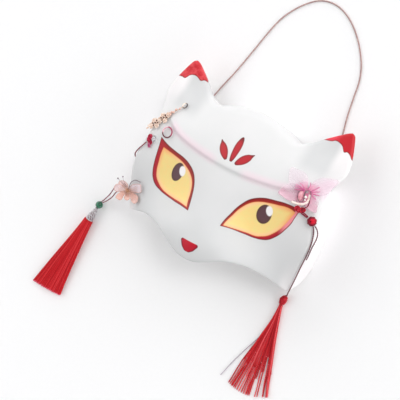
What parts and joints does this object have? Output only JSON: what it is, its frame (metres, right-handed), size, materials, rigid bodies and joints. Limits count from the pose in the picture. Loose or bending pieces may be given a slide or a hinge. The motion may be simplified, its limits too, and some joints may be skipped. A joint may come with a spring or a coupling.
{
  "type": "fox mask",
  "caption": "Half-face fox mask with painted eyes, red ear tips, flower ornaments, an elastic head strap and tassels, lying face up on its rim.",
  "frame": {"origin": "middle of the mask's own box, on the plane of its rim, which is the surface it lies on", "axes": "+X to the wearer's left side, +Y to the ears, +Z out of the face"},
  "size_m": [0.263, 0.36, 0.0794],
  "materials": {
    "painted_pulp": "moulded pulp under smooth satin white paint, with yellow, red and brown painted eyes, nose, ear tips and forehead mark",
    "elastic": "thin covered elastic, matte",
    "gold": "bright gold plate",
    "pink_wire": "glossy crimson lacquered wire",
    "crystal": "clear faceted crystal",
    "red_cord": "twisted silk cord with a slight sheen",
    "petal_film": "sheer pink film petals edged with copper wire",
    "jade": "polished dark green stone",
    "silver": "polished openwork silver plate",
    "red_silk": "silk threads with a sheen",
    "organza": "sheer pink organza",
    "pink_bead": "glossy rose bead"
  },
  "bodies": {
    "root": {"mask_shell": "painted_pulp", "head_strap": "elastic", "strap_knot_left": "elastic", "strap_knot_right": "elastic", "gold_filigree": "gold", "pink_ring": "pink_wire", "crystal_bead": "crystal", "left_knot": "red_cord", "left_side_cord": "red_cord", "wire_flower": "petal_film", "left_cord_upper": "red_cord", "left_cord_lower": "red_cord", "jade_bead": "jade", "silver_cap": "silver", "left_tassel": "red_silk", "organza_flower": "organza", "flower_hook": "gold", "oval_bead": "pink_bead", "right_knot": "red_cord", "button_knot": "red_cord", "right_cord_inner": "red_cord", "right_cord_outer": "red_cord", "tassel_knot": "red_cord", "right_tassel": "red_silk"}
  },
  "joints": []
}
